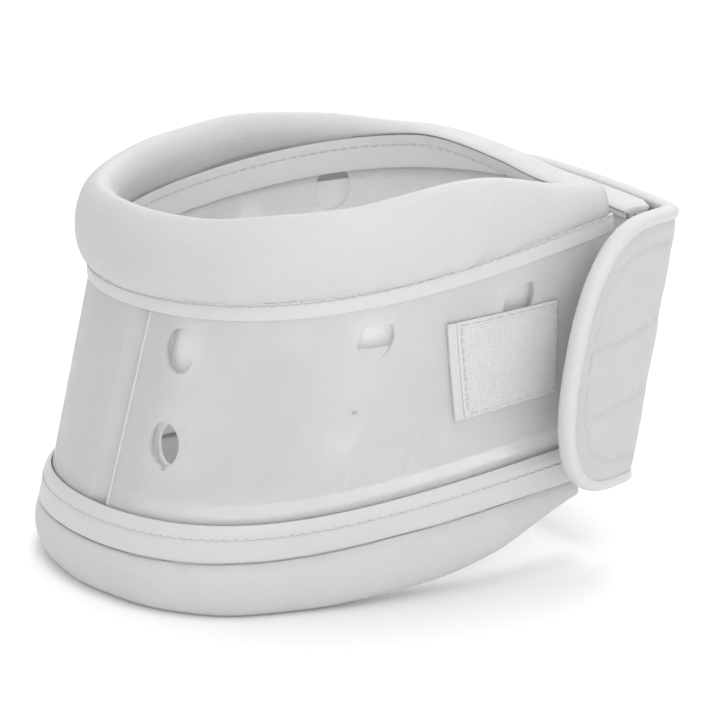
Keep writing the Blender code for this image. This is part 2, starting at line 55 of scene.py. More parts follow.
# ---------------------------------------------------------------------------
# The collar's wall, with the same driving dimensions as the frame.
# ---------------------------------------------------------------------------
SHIFT_X, SHIFT_Y, SHIFT_Z = 8.5, 1.22, 2.5
INSET = 1.2
A1, A2 = 70.0, -2.0
B1, B2, B3 = 48.0, -12.0, -6.0
T_NEAR_LINE, T_FAR_LINE = 1.75, 0.34
NEAR_SPEED, FAR_SPEED = 185.0, 243.0
FAR_BEND_R = 250.0
T_NEAR_TOP, T_NEAR_LOW = 1.804, 1.869
T_FAR_END = 0.166
Z_STITCH, Z_RIM, Z_BASE = 82.0, 77.6, 12.0
LEAN = 21.7
CONE_FRONT, CONE_NEAR_END, CONE_FAR_END = -8.0, 3.5, 5.0
TILT = 0.0976
LIFT_BACK = 5.0
BAND_TOP_FLAT, RIM_LIFT = 80.2, 7.4
BASE_TAPE_TOP = 22.1

# The strap: how far out its middle runs, its height on the wall and where it folds.
STRAP_MID = 6.9
STRAP_Z0, STRAP_Z1 = 12.6, 83.5
T_ROOT = 0.41
FOLD_D_TOP, FOLD_D_LOW = 47.5, 56.5
FOLD_TURN, TAB_CURL = -54.0, -16.0
TAB_LENGTH, TAB_STRAIGHT = 37.0, 9.0


def smooth(a, b, x):
    s = min(1.0, max(0.0, (x - a) / (b - a)))
    return s * s * (3.0 - 2.0 * s)


def between(a, b, n):
    return [a + (b - a) * i / (n - 1) for i in range(n)]


def fourier(t):
    p = math.pi * t
    x = A1 * math.cos(p) + A2 * math.cos(2 * p)
    y = B1 * math.sin(p) + B2 * math.sin(2 * p) + B3 * math.sin(3 * p)
    return x, y


def fourier_heading(t):
    """Direction of falling t, which goes from the near end round the chin to the far end."""
    p = math.pi * t
    dx = A1 * math.sin(p) + 2 * A2 * math.sin(2 * p)
    dy = -B1 * math.cos(p) - 2 * B2 * math.cos(2 * p) - 3 * B3 * math.cos(3 * p)
    n = math.hypot(dx, dy)
    return dx / n, dy / n


def line_at(t):
    """Point and heading of the wall's top line, with straight near end and gently curved far end."""
    if t > T_NEAR_LINE:
        x, y = fourier(T_NEAR_LINE)
        hx, hy = fourier_heading(T_NEAR_LINE)
        run = (t - T_NEAR_LINE) * NEAR_SPEED
        return x - hx * run, y - hy * run, hx, hy
    if t < T_FAR_LINE:
        x, y = fourier(T_FAR_LINE)
        hx, hy = fourier_heading(T_FAR_LINE)
        turn = (T_FAR_LINE - t) * FAR_SPEED / FAR_BEND_R
        start = math.atan2(hy, hx)
        end = start - turn
        x += FAR_BEND_R * (math.sin(start) - math.sin(end))
        y += FAR_BEND_R * (math.cos(end) - math.cos(start))
        return x, y, math.cos(end), math.sin(end)
    x, y = fourier(t)
    hx, hy = fourier_heading(t)
    return x, y, hx, hy


def ends_weight(t):
    return max(smooth(1.5, 1.75, t), 1.0 - smooth(0.35, 0.6, t))


def shell(t, z, out):
    """A point of the collar's wall: along the line, up the wall, and out from it."""
    x, y, hx, hy = line_at(t)
    nx, ny = -hy, hx
    u = min(1.0, max(0.0, (Z_RIM - z) / (Z_RIM - Z_BASE)))
    w = ends_weight(t)
    cone_end = CONE_NEAR_END if t > 1.0 else CONE_FAR_END
    off = out - INSET + (CONE_FRONT + (cone_end - CONE_FRONT) * w) * u
    up = z + TILT * math.cos(math.pi * max(t, 0.36)) * max(0.0, min(z, Z_STITCH)) + LIFT_BACK * w * u + SHIFT_Z
    return Vector((x + nx * off - LEAN * u + SHIFT_X, y + ny * off + SHIFT_Y, up))


def near_end(z):
    u = (Z_RIM - z) / (Z_RIM - Z_BASE)
    return T_NEAR_TOP + (T_NEAR_LOW - T_NEAR_TOP) * u


def stretch(s, z):
    """t for a share s of the way along the wall, so that the near end follows its slanting edge."""
    t0 = near_end(z)
    return t0 + (T_FAR_END - t0) * s


def wall(s, z, out):
    return shell(stretch(s, z), z, out)


def rim_rise(t):
    """1 where the band stands high inside the roll, falling to 0 at its two ends."""
    return smooth(0.30, 0.50, t) * (1.0 - 0.80 * smooth(1.64, 1.80, t))


def roll_size(t):
    """1 where the chin roll is full, falling to nothing at its two ends."""
    return smooth(0.44, 0.78, t) * (1.0 - 0.86 * smooth(1.60, 1.81, t))


def pad_size(t):
    return (0.12 + 0.88 * smooth(0.30, 0.62, t)) * (1.0 - 0.80 * smooth(1.58, 1.86, t))


def band_top(t):
    k = roll_size(t)
    return BAND_TOP_FLAT + RIM_LIFT * (rim_rise(t) * (1.0 - k) + k)


# ---------------------------------------------------------------------------
# Mesh building.
# ---------------------------------------------------------------------------
def finish_mesh(name, bm, flat_above=None):
    bmesh.ops.recalc_face_normals(bm, faces=bm.faces)
    if bm.calc_volume(signed=True) < 0:
        bmesh.ops.reverse_faces(bm, faces=bm.faces)
    mesh = bpy.data.meshes.new(name)
    bm.to_mesh(mesh)
    bm.free()
    made = bpy.data.objects.new(name, mesh)
    bpy.context.scene.collection.objects.link(made)
    return made


def loft(name, rings, us=None, closed=True):
    """A skin through rings of equally many points in millimetres, capped at its two ends.

    The UV map is in metres: along the rings' order, and round each ring.
    """
    bm = bmesh.new()
    layer = bm.loops.layers.uv.new("UVMap")
    count = len(rings[0])
    if us is None:
        us = [0.0]
        for a, b in zip(rings[:-1], rings[1:]):
            us.append(us[-1] + (b[0] - a[0]).length)
    middle = rings[len(rings) // 2]
    across = [0.0]
    for j in range(count):
        across.append(across[-1] + (middle[(j + 1) % count] - middle[j]).length)
    verts = [[bm.verts.new(p * MM) for p in ring] for ring in rings]
    for i in range(len(rings) - 1):
        for j in range(count):
            k = (j + 1) % count
            face = bm.faces.new((verts[i][j], verts[i][k], verts[i + 1][k], verts[i + 1][j]))
            face.smooth = True
            corners = ((i, j), (i, j + 1), (i + 1, j + 1), (i + 1, j))
            for loop, (a, b) in zip(face.loops, corners):
                loop[layer].uv = (us[a] * MM, across[b] * MM)
    for ring in (verts[0], verts[-1]):
        face = bm.faces.new(ring)
        face.smooth = False
    return finish_mesh(name, bm)


def spline(points, steps):
    """A Catmull-Rom curve through 2D points, ends included."""
    made = []
    last = len(points) - 1
    for i in range(last):
        p0, p1 = points[max(0, i - 1)], points[i]
        p2, p3 = points[i + 1], points[min(last, i + 2)]
        for k in range(steps):
            s = k / steps
            made.append(tuple(0.5 * (2 * b + (c - a) * s + (2 * a - 5 * b + 4 * c - d) * s * s
                                     + (3 * b - a - 3 * c + d) * s ** 3)
                              for a, b, c, d in zip(p0, p1, p2, p3)))
    made.append(tuple(points[last]))
    return made


def strip_outline(low, high, inner, outer, rows, radius):
    """A flat strip's section with rounded corners, as (across, out) points."""
    corner = [(1 - math.cos(a), math.sin(a)) for a in between(0.0, math.pi / 2, 4)]
    face = between(low + radius, high - radius, rows)
    section = [(low + radius * c, outer - radius + radius * s) for c, s in corner]
    section += [(v, outer) for v in face[1:-1]]
    section += [(high - radius * c, outer - radius + radius * s) for c, s in reversed(corner)]
    section += [(high - radius * c, inner + radius - radius * s) for c, s in corner]
    section += [(v, inner) for v in reversed(face[1:-1])]
    section += [(low + radius * c, inner + radius - radius * s) for c, s in reversed(corner)]
    return section


def arc_table(point, count=500):
    """Shares of a path and the length in millimetres that lies before each."""
    shares = between(0.0, 1.0, count)
    lengths = [0.0]
    before = point(0.0)
    for s in shares[1:]:
        here = point(s)
        lengths.append(lengths[-1] + (here - before).length)
        before = here
    return shares, lengths


def share_at(table, length):
    shares, lengths = table
    low, high = 0, len(lengths) - 1
    while high - low > 1:
        middle = (low + high) // 2
        if lengths[middle] <= length:
            low = middle
        else:
            high = middle
    f = (length - lengths[low]) / max(1e-9, lengths[high] - lengths[low])
    return shares[low] + (shares[high] - shares[low]) * min(1.0, max(0.0, f))


def ripple(point, size, seed=0.0):
    """Smooth noise from -1 to 1 that changes over about size millimetres."""
    return noise.noise(point / size + Vector((seed, seed * 0.37, -seed)))


def stitches(name, path, length, pitch, stitch=2.1, radius=0.24, rise=0.22, start=0.0):
    """Thread stitches along path(mm), which gives a point of the cloth and its outward normal."""
    bm = bmesh.new()
    layer = bm.loops.layers.uv.new("UVMap")
    sides, steps = 6, 6
    count = int((length - start - stitch) / pitch) + 1
    for i in range(count):
        begin = start + i * pitch
        rings = []
        centres = []
        for k in range(steps + 1):
            x = k / steps
            here, normal = path(begin + stitch * x)
            lift = rise * (1.0 - (2 * x - 1) ** 4) - 0.18 * (2 * x - 1) ** 6
            centres.append((here + normal * lift, normal))
        for k, (centre, normal) in enumerate(centres):
            before = centres[max(0, k - 1)][0]
            after = centres[min(steps, k + 1)][0]
            along = (after - before).normalized()
            side = along.cross(normal).normalized()
            up = side.cross(along).normalized()
            thick = radius * (1.0 - 0.35 * abs(2 * k / steps - 1) ** 3)
            ring = []
            for j in range(sides):
                a = 2 * math.pi * j / sides
                ring.append(bm.verts.new((centre + side * thick * math.cos(a) + up * thick * math.sin(a)) * MM))
            rings.append(ring)
        for a, b in zip(rings[:-1], rings[1:]):
            for j in range(sides):
                face = bm.faces.new((a[j], a[(j + 1) % sides], b[(j + 1) % sides], b[j]))
                face.smooth = True
                for loop in face.loops:
                    loop[layer].uv = (begin * MM, j * radius * MM)
        bm.faces.new(rings[0])
        bm.faces.new(rings[-1])
    return finish_mesh(name, bm)


# ---------------------------------------------------------------------------
# Materials.
# ---------------------------------------------------------------------------
class Look:
    """A material being built: its shader and short ways to add nodes."""

    def __init__(self, name, colour, rough, **values):
        self.material = bpy.data.materials.new(name)
        self.material.use_nodes = True
        self.nodes = self.material.node_tree.nodes
        self.links = self.material.node_tree.links
        self.shader = self.nodes["Principled BSDF"]
        self.colour = colour
        self.set("Base Color", (*colour, 1.0))
        self.set("Roughness", rough)
        for key, value in values.items():
            self.set(key.replace("_", " "), value)
        self.heights = []
        self.tint = None

    def set(self, socket, value):
        self.shader.inputs[socket].default_value = value

    def node(self, kind, **values):
        made = self.nodes.new("ShaderNode" + kind)
        for key, value in values.items():
            setattr(made, key, value)
        return made

    def link(self, a, b):
        self.links.new(a, b)

    def space(self, scale, kind="Object", stretch_by=(1.0, 1.0, 1.0)):
        """Coordinates in units of 1/scale metres."""
        source = self.node("TexCoord")
        mapping = self.node("Mapping")
        mapping.inputs["Scale"].default_value = [scale * k for k in stretch_by]
        self.link(source.outputs[kind], mapping.inputs["Vector"])
        return mapping.outputs["Vector"]

    def math(self, operation, a, b=None, c=None):
        made = self.node("Math", operation=operation)
        for socket, value in zip(made.inputs, (a, b, c)):
            if value is None:
                continue
            if isinstance(value, (int, float)):
                socket.default_value = value
            else:
                self.link(value, socket)
        return made.outputs[0]

    def noise(self, size, detail=3.0, roughness=0.5, kind="Object", stretch_by=(1.0, 1.0, 1.0)):
        made = self.node("TexNoise")
        made.inputs["Scale"].default_value = 1.0
        made.inputs["Detail"].default_value = detail
        made.inputs["Roughness"].default_value = roughness
        self.link(self.space(1.0 / (size * MM), kind, stretch_by), made.inputs["Vector"])
        return made.outputs["Fac"]

    def cells(self, size, feature="F1", kind="Object"):
        made = self.node("TexVoronoi", feature=feature)
        made.inputs["Scale"].default_value = 1.0
        self.link(self.space(1.0 / (size * MM), kind), made.inputs["Vector"])
        return made.outputs["Distance"]

    def uv(self):
        source = self.node("TexCoord")
        split = self.node("SeparateXYZ")
        self.link(source.outputs["UV"], split.inputs[0])
        return split.outputs[0], split.outputs[1]

    def weave(self, pitch):
        """Height of a plain weave whose threads run along and across the UV map."""
        u, v = self.uv()
        along = self.math("SINE", self.math("MULTIPLY", u, 2 * math.pi / (pitch * MM)))
        across = self.math("SINE", self.math("MULTIPLY", v, 2 * math.pi / (pitch * MM)))
        return self.math("MULTIPLY_ADD", self.math("MULTIPLY", along, across), 0.5, 0.5)

    def ribs(self, pitch, axis=0):
        """Height of fine ribs across one direction of the UV map."""
        wave = self.math("SINE", self.math("MULTIPLY", self.uv()[axis], 2 * math.pi / (pitch * MM)))
        return self.math("MULTIPLY_ADD", wave, 0.5, 0.5)

    def holes(self, pitch, across, radius, start=0.0):
        """1 at needle holes along the UV map's length, at one distance across it: the mask for the painted shade in
        the holes.
        """
        u, v = self.uv()
        turn = self.math("SUBTRACT", self.math("DIVIDE", u, pitch * MM), start / pitch)
        dx = self.math("MULTIPLY", self.math("SUBTRACT", self.math("FRACT", turn), 0.5), pitch)
        dy = self.math("DIVIDE", self.math("SUBTRACT", v, across * MM), MM)
        squares = self.math("ADD", self.math("MULTIPLY", dx, dx), self.math("MULTIPLY", dy, dy))
        far = self.math("SQRT", squares)
        return self.math("SUBTRACT", 1.0, self.math("SMOOTH_MIN", self.math("DIVIDE", far, radius), 1.0, 0.3))

    def shade(self, factor, dark, light):
        """Multiplies the colour by a value that goes from dark to light with factor."""
        ramp = self.node("MapRange")
        ramp.inputs["To Min"].default_value = dark
        ramp.inputs["To Max"].default_value = light
        self.link(factor, ramp.inputs["Value"])
        value = ramp.outputs["Result"]
        self.tint = value if self.tint is None else self.math("MULTIPLY", self.tint, value)

    def roughen(self, factor, low, high):
        ramp = self.node("MapRange")
        ramp.inputs["To Min"].default_value = low
        ramp.inputs["To Max"].default_value = high
        self.link(factor, ramp.inputs["Value"])
        self.link(ramp.outputs["Result"], self.shader.inputs["Roughness"])

    def raise_by(self, height, millimetres):
        self.heights.append((height, millimetres))

    def done(self):
        if self.tint is not None:
            mix = self.node("Mix", data_type="RGBA", blend_type="MULTIPLY")
            mix.inputs[0].default_value = 1.0
            mix.inputs[6].default_value = (*self.colour, 1.0)
            grey = self.node("CombineColor")
            for socket in grey.inputs:
                self.link(self.tint, socket)
            self.link(grey.outputs[0], mix.inputs[7])
            self.link(mix.outputs[2], self.shader.inputs["Base Color"])
        before = None
        for height, millimetres in self.heights:
            bump = self.node("Bump")
            bump.inputs["Strength"].default_value = 1.0
            bump.inputs["Distance"].default_value = millimetres * MM
            self.link(height, bump.inputs["Height"])
            if before is not None:
                self.link(before, bump.inputs["Normal"])
            before = bump.outputs["Normal"]
        if before is not None:
            self.link(before, self.shader.inputs["Normal"])
        return self.material


def leatherette():
    """Soft white vinyl-coated cloth: fine pebbled grain, a little uneven in tone and gloss."""
    look = Look("leatherette", (0.53, 0.53, 0.527), 0.52, Specular_IOR_Level=0.35, Sheen_Weight=0.08)
    grain = look.cells(0.75)
    fine = look.noise(0.35, 4.0, 0.6)
    patches = look.noise(14.0, 3.0)
    look.raise_by(grain, 0.05)
    look.raise_by(fine, 0.03)
    look.shade(grain, 1.015, 0.975)
    look.shade(patches, 0.955, 1.03)
    look.roughen(look.noise(5.0, 4.0), 0.42, 0.66)
    return look.done()


def clear_sheet(name, tone, through, rough):
    """Milky translucent plastic with faint scratches, a mottled body and a slight waviness."""
    look = Look(name, (tone, tone, tone * 0.995), rough, Specular_IOR_Level=0.4, IOR=1.12,
                Transmission_Weight=through)
    cloud = look.noise(9.0, 4.0, 0.6)
    scratch = look.noise(3.0, 6.0, 0.75, stretch_by=(0.25, 0.25, 1.6))
    look.shade(cloud, 0.965, 1.03)
    look.raise_by(scratch, 0.03)
    look.raise_by(look.noise(30.0, 1.0), 0.5)
    look.roughen(look.noise(4.0, 5.0, 0.65), rough - 0.08, rough + 0.14)
    return look.done()


def tape_look(name, tone, pitch, across, start):
    """Smooth plastic-coated binding tape, with painted shade in the needle holes where it is sewn."""
    look = Look(name, (tone, tone, tone * 0.995), 0.42, Specular_IOR_Level=0.4)
    look.shade(look.noise(6.0, 4.0), 0.965, 1.03)
    look.raise_by(look.noise(1.1, 5.0, 0.6), 0.035)
    look.raise_by(look.noise(7.0, 2.0), 0.12)
    look.roughen(look.noise(3.0, 4.0), 0.34, 0.54)
    # Painted shade: the colour is darkened at each needle hole to stand in for the shade inside the hole.
    look.shade(look.holes(pitch, across, 0.34, start), 1.0, 0.42)
    return look.done()


def strap_cloth():
    """Brushed laminated cloth on the strap's face: a fine close weave with a slight nap."""
    look = Look("strap_cloth", (0.51, 0.51, 0.508), 0.80, Specular_IOR_Level=0.25, Sheen_Weight=0.25,
                Sheen_Roughness=0.5)
    look.raise_by(look.weave(0.62), 0.06)
    look.raise_by(look.noise(0.30, 5.0, 0.7, "UV"), 0.05)
    # The weave's pattern in the colour is darker where the weave is low: painted shade in its hollows.
    look.shade(look.weave(0.62), 0.97, 1.015)
    look.shade(look.noise(11.0, 4.0, 0.6, "UV"), 0.96, 1.03)
    return look.done()


def binding_cloth():
    """Bright edge binding: fine ribs across a soft braid."""
    look = Look("binding_cloth", (0.57, 0.57, 0.567), 0.62, Specular_IOR_Level=0.3, Sheen_Weight=0.2)
    look.raise_by(look.ribs(0.55), 0.03)
    look.raise_by(look.noise(0.4, 4.0, 0.6, "UV"), 0.03)
    # The ribs' pattern in the colour is darker where the ribs are low: painted shade in the grooves.
    look.shade(look.ribs(0.55), 0.985, 1.005)
    look.shade(look.noise(8.0, 3.0, 0.5, "UV"), 0.965, 1.03)
    return look.done()


def thread_look():
    look = Look("thread", (0.55, 0.55, 0.547), 0.45, Sheen_Weight=0.2)
    look.raise_by(look.noise(0.18, 2.0, 0.5), 0.03)
    look.shade(look.noise(1.0, 2.0), 0.93, 1.04)
    return look.done()


def hook_look():
    look = Look("hook_plastic", (0.67, 0.668, 0.66), 0.45, Specular_IOR_Level=0.5)
    look.shade(look.noise(5.0, 4.0, 0.7), 0.93, 1.05)
    look.raise_by(look.noise(0.4, 3.0), 0.03)
    return look.done()


def loop_look():
    """Short matted pile of the loop cloth."""
    look = Look("loop_pile", (0.77, 0.77, 0.765), 0.95, Sheen_Weight=0.5, Sheen_Roughness=0.6)
    look.raise_by(look.noise(0.55, 6.0, 0.8), 0.25)
    look.shade(look.noise(0.7, 5.0, 0.8), 0.86, 1.08)
    look.shade(look.noise(9.0, 2.0), 0.96, 1.03)
    return look.done()


# ---------------------------------------------------------------------------
# Chin roll and lower pad.
# ---------------------------------------------------------------------------
# Outlines as (out, height): plain folded end and full roll; plain folded end and full pad.
ROLL_FLAT = ((0.8, 78.6), (0.85, 81.95), (2.2, 82.1), (2.6, 82.4), (2.5, 82.8), (1.8, 83.1), (0.6, 83.25),
             (-0.8, 83.3), (-2.2, 83.3), (-3.6, 83.2), (-4.7, 82.95), (-5.15, 82.6), (-4.6, 82.3), (-3.7, 82.15),
             (-3.7, 78.6))
ROLL_FULL = ((0.8, 78.6), (0.85, 81.2), (2.45, 81.75), (3.95, 84.0), (4.8, 88.2), (4.5, 93.6), (2.4, 98.8),
             (-1.0, 101.4), (-4.3, 100.2), (-6.2, 96.8), (-6.1, 92.9), (-5.0, 90.6), (-3.9, 89.5), (-3.7, 85.0),
             (-3.7, 78.6))
PAD_FLAT = ((2.5, 20.5), (2.5, 13.2), (2.45, 12.5), (2.4, 12.1), (2.3, 11.8), (2.0, 11.6), (1.4, 11.45),
            (0.7, 11.4), (0.0, 11.45), (-0.6, 11.6), (-1.1, 11.8), (-1.4, 12.1), (-1.55, 12.5), (-1.6, 13.2),
            (-1.6, 20.5))
PAD_FULL = ((2.5, 20.5), (2.5, 12.4), (3.1, 11.4), (4.4, 9.2), (4.8, 5.6), (4.2, 1.6), (2.8, -1.2),
            (0.6, -2.5), (-2.4, -2.5), (-5.2, 0.0), (-6.3, 5.0), (-5.2, 9.6), (-3.0, 12.0), (-1.6, 13.2),
            (-1.6, 20.5))
ROLL_SLOT, ROLL_FOOT, ROLL_INNER_FOOT = (-2.9, -1.35), 78.6, 81.0
ROLL_SHORT, ROLL_PAST = 0.6, 0.8
# How far the flat end of the cover reaches out towards the strap.
ROLL_FLAP = 1.5
PAD_SLOT, PAD_HEAD = (-0.75, 1.95), 20.5


def mixed(flat, full, k, lift=0.0, k_low=None):
    """Between a flat and a full outline. k_low is the share for the outline's lower outer corner."""
    made = []
    for i, ((ax, az), (bx, bz)) in enumerate(zip(flat, full)):
        if i > 2 and az > 79.9:
            az += lift * min(1.0, (i - 2) / 3)
        share = k if k_low is None or i > 5 else k_low + (k - k_low) * i / 6
        made.append((ax + (bx - ax) * share, az + (bz - az) * share))
    return made


def roll_fullness(t):
    """How full the roll is: over its top, and where it meets the tape. It ends in a step near the closure."""
    start = smooth(0.44, 0.78, t)
    top = start * (1.0 - 0.78 * smooth(1.60, 1.79, t))
    low = start * (1.0 - 0.50 * smooth(1.66, 1.78, t))
    return top, low


def swelled(outline, centre, amount):
    """Moves each point of an outline away from the centre by amount(point index) millimetres."""
    made = []
    for i, (x, z) in enumerate(outline):
        dx, dz = x - centre[0], z - centre[1]
        r = math.hypot(dx, dz)
        step = amount(i) / max(r, 1e-6)
        made.append((x + dx * step, z + dz * step))
    return made


def chin_roll():
    """Foam in leatherette, sewn over the band's top edge: full round the chin and flat at its two ends."""
    rings = []
    table = arc_table(lambda s: wall(s, 90.0, 0.0))
    total = table[1][-1]
    us = between(ROLL_SHORT, total, 520) + [total + ROLL_PAST * f for f in (0.2, 0.4, 0.6, 0.8, 0.93, 1.0)]
    for length in us:
        past = max(0.0, length - total)
        s = share_at(table, length - past) + past / total
        t = stretch(s, 80.0)
        k, k_low = roll_fullness(t)
        lift = RIM_LIFT * rim_rise(t) + 2.4 * smooth(1.70, 1.79, t)
        outline = mixed(ROLL_FLAT, ROLL_FULL, k, lift, k_low)
        flap = ROLL_FLAP * (1.0 - smooth(0.36, 0.46, t)) * smooth(T_FAR_END - 0.002, T_FAR_END + 0.022, t)
        outline[2:6] = [(out + flap * share, z) for (out, z), share in zip(outline[2:6], (0.5, 1.0, 1.0, 0.6))]
        outline = spline(outline, 5)
        last = len(outline) - 1

        def amount(i):
            place = wall(s, outline[i][1], outline[i][0])
            seam = math.exp(-max(0.0, outline[i][1] - 82.5) / 3.2) if i < last / 2 else \
                math.exp(-max(0.0, outline[i][1] - 89.0) / 3.0)
            pucker = ripple(Vector((place.x, place.y, place.z * 0.35)), 4.2) * 0.42 * seam
            broad = ripple(place, 17.0, 5.0) * 0.40 + ripple(place, 38.0, 9.0) * 0.55
            free = min(1.0, i / 4, (last - i) / 6)
            return k * free * (pucker + broad)

        outline = swelled(outline, (-0.8, 91.5), amount)
        closing = 1.0 - smooth(0.0, 1.8, length - ROLL_SHORT)
        outline = [(out + (-1.4 - out) * 0.32 * closing * min(1.0, i / 4, (last - i) / 4), z - 0.9 * closing
                    * max(0.0, (z - 82.0) / 8.0)) for i, (out, z) in enumerate(outline)]
        outline = [(out, max(z, ROLL_INNER_FOOT) if i > last / 2 else z) for i, (out, z) in enumerate(outline)]
        bulge = 1.0 - math.sqrt(max(0.0, 1.0 - (past / ROLL_PAST) ** 2))
        outline = [(out + (-1.4 - out) * 0.55 * bulge, z + (81.4 - z) * 0.75 * bulge) for out, z in outline]
        top = band_top(t) + 0.35
        top += (ROLL_INNER_FOOT + 0.6 - top) * min(1.0, past / (0.2 * ROLL_PAST))
        inner, outer = ROLL_SLOT
        slot = [(inner, ROLL_INNER_FOOT), (inner, top - 0.5), (inner + 0.3, top), (outer - 0.3, top), (outer, top - 0.5),
                (outer, ROLL_FOOT)]
        rings.append([wall(s, z, out) for out, z in outline + slot])
    made = loft("chin_roll", rings, us)
    return made


def lower_pad():
    """Foam in leatherette round the shell's lower edge, flattened where the collar stands on it."""
    rings = []
    table = arc_table(lambda s: wall(s, 8.0, 0.0))
    us = between(0.0, table[1][-1], 520)
    for length in us:
        s = share_at(table, length)
        t = stretch(s, 80.0)
        k = pad_size(t)
        outline = spline(mixed(PAD_FLAT, PAD_FULL, k), 5)
        last = len(outline) - 1

        def amount(i):
            place = wall(s, outline[i][1], outline[i][0])
            seam = math.exp(-max(0.0, 11.5 - outline[i][1]) / 3.0)
            pucker = ripple(Vector((place.x, place.y, place.z * 0.35)), 4.6, 3.0) * 0.40 * seam
            broad = ripple(place, 18.0, 2.0) * 0.35 + ripple(place, 40.0, 7.0) * 0.45
            free = min(1.0, max(0, i - 5) / 5, max(0, last - 5 - i) / 5)
            return k * free * (pucker + broad)

        outline = swelled(outline, (-0.8, 5.0), amount)
        inner, outer = PAD_SLOT
        foot = 13.0 - 0.6 * k
        slot = [(inner, PAD_HEAD), (inner, foot + 0.6), (inner + 0.4, foot), (outer - 0.4, foot),
                (outer, foot + 0.6), (outer, PAD_HEAD)]
        ring = [wall(s, z, out) for out, z in outline + slot]
        for p in ring:
            p.z = max(p.z, 0.0)
        rings.append(ring)
    return loft("lower_pad", rings, us)


# ---------------------------------------------------------------------------
# Sewn tapes.
# ---------------------------------------------------------------------------
# How far the outer base tape's top edge lies in over the shell.
BASE_LEAN = 0.85


def tape(name, low, high, inner, outer, sew, lean=0.0, rows=9, flutter=0.10, seed=0.0):
    """A binding tape along the wall. low, high and sew (its stitch line) are heights at each t.

    lean is how far its top edge lies in towards the shell.
    """
    table = arc_table(lambda s: wall(s, sew(stretch(s, 80.0)), outer))
    total = table[1][-1]
    us = between(0.0, total, 620)
    rings = []
    for length in us:
        s = share_at(table, length)
        t = stretch(s, 80.0)
        a, b, line = low(t), high(t), sew(t)
        section = strip_outline(a, b, inner, outer, rows, min(0.28, (outer - inner) * 0.42))
        half = len(section) // 2
        side = 1.0 if abs(outer) > abs(inner) else -1.0
        ring = []
        for i, (z, out) in enumerate(section):
            shown = (i < half) if side > 0 else (i >= half)
            if shown:
                place = wall(s, z, out)
                pull = 0.16 * math.exp(-((z - line) / 0.55) ** 2)
                wave = flutter * ripple(place, 7.0, seed)
                out -= side * (pull - wave * min(1.0, abs(z - line) / 1.5))
            out -= lean * smooth(b - 2.0, b - 0.2, z)
            ring.append(wall(s, z, out))
        rings.append(ring)
    made = loft(name, rings, us)
    return made, table


def tape_thread(name, table, sew, out, pitch, side=1.0, start=1.5, radius=0.19):
    """A line of stitches along a tape. side is 1 on the outside of the wall and -1 on the inside."""
    def path(length):
        s = share_at(table, length)
        z = sew(stretch(s, 80.0))
        here = wall(s, z, out)
        normal = (wall(s, z, out + side) - here).normalized()
        return here, normal

    return stitches(name, path, table[1][-1] - start, pitch, pitch - 0.35, radius, 0.14, start)


# ---------------------------------------------------------------------------
# Strap. l is the distance past the fold (negative on the part sewn to the shell), r the height along the fold.
# ---------------------------------------------------------------------------
def far_t(distance):
    return T_FAR_LINE - distance / FAR_SPEED


def fold_t(z):
    u = (Z_RIM - z) / (Z_RIM - Z_BASE)
    return far_t(FOLD_D_TOP + (FOLD_D_LOW - FOLD_D_TOP) * u)


FOLD_LOW = shell(fold_t(STRAP_Z0), STRAP_Z0, STRAP_MID)
FOLD_HIGH = shell(fold_t(STRAP_Z1), STRAP_Z1, STRAP_MID)
TALL = (FOLD_HIGH - FOLD_LOW).length
UP = (FOLD_HIGH - FOLD_LOW).normalized()
_, _, AHEAD_X, AHEAD_Y = line_at(fold_t(STRAP_Z0))
AHEAD = Vector((AHEAD_X, AHEAD_Y, 0.0))
AHEAD = (AHEAD - UP * AHEAD.dot(UP)).normalized()
SIDE = UP.cross(AHEAD).normalized()
ROOT_LENGTH = 66.0
ROOT_START = -ROOT_LENGTH * 0.97
BEND = 3.4


def root_middle(l, r):
    """The strap's middle on the part sewn to the shell: straight from its low to its high edge."""
    s = 1.0 + l / ROOT_LENGTH
    ends = []
    for z in (STRAP_Z0, STRAP_Z1):
        end = fold_t(z)
        ends.append(shell(T_ROOT + (end - T_ROOT) * s, z, STRAP_MID))
    return ends[0].lerp(ends[1], r / TALL)


def tab_middle(l, r):
    turn = math.radians(FOLD_TURN)
    curl = math.radians(TAB_CURL) / TAB_LENGTH
    heading = turn + curl * l
    a = (math.sin(heading) - math.sin(turn)) / curl
    b = (math.cos(turn) - math.cos(heading)) / curl
    return FOLD_LOW + UP * r + AHEAD * a + SIDE * b


def strap_middle(l, r):
    if l <= -BEND:
        return root_middle(l, r)
    if l >= BEND:
        return tab_middle(l, r)
    f = (l + BEND) / (2 * BEND)
    a, b, c = root_middle(-BEND, r), root_middle(0.0, r), tab_middle(BEND, r)
    return a * (1 - f) ** 2 + b * 2 * f * (1 - f) + c * f * f


def strap_normal(l, r):
    along = strap_middle(l + 0.3, r) - strap_middle(l - 0.3, r)
    up = strap_middle(l, r + 0.5) - strap_middle(l, r - 0.5)
    return up.cross(along).normalized()


def strap(l, r, out):
    """A point of the strap, out millimetres away from its middle, on the side away from the neck."""
    return strap_middle(l, r) + strap_normal(l, r) * out


def strap_edges(l, inset=0.0, tip_inset=None):
    """Low and high edge of the strap at l: parallel, then a deep rounded tip."""
    length = TAB_LENGTH - (inset if tip_inset is None else tip_inset)
    half = TALL / 2 - inset
    s = min(1.0, max(0.0, (l - TAB_STRAIGHT) / (length - TAB_STRAIGHT)))
    tall = half * (1.0 - s ** 3.0) ** (1 / 2.4)
    return TALL / 2 - tall, TALL / 2 + tall


def strap_outline(inset, tip_inset=None):
    """The strap's edge as (l, r) points: along the low edge, round the tip and back along the high edge."""
    tip_inset = inset if tip_inset is None else tip_inset
    low = [(l, inset) for l in between(ROOT_START + inset, TAB_STRAIGHT, 120)]
    tip = []
    for a in between(0.0, math.pi / 2, 140)[1:]:
        l = TAB_STRAIGHT + (TAB_LENGTH - tip_inset - TAB_STRAIGHT) * math.sin(a)
        tip.append((l, strap_edges(l, inset, tip_inset)[0]))
    points = low + tip
    return points + [(l, TALL - r) for l, r in reversed(points[:-1])]


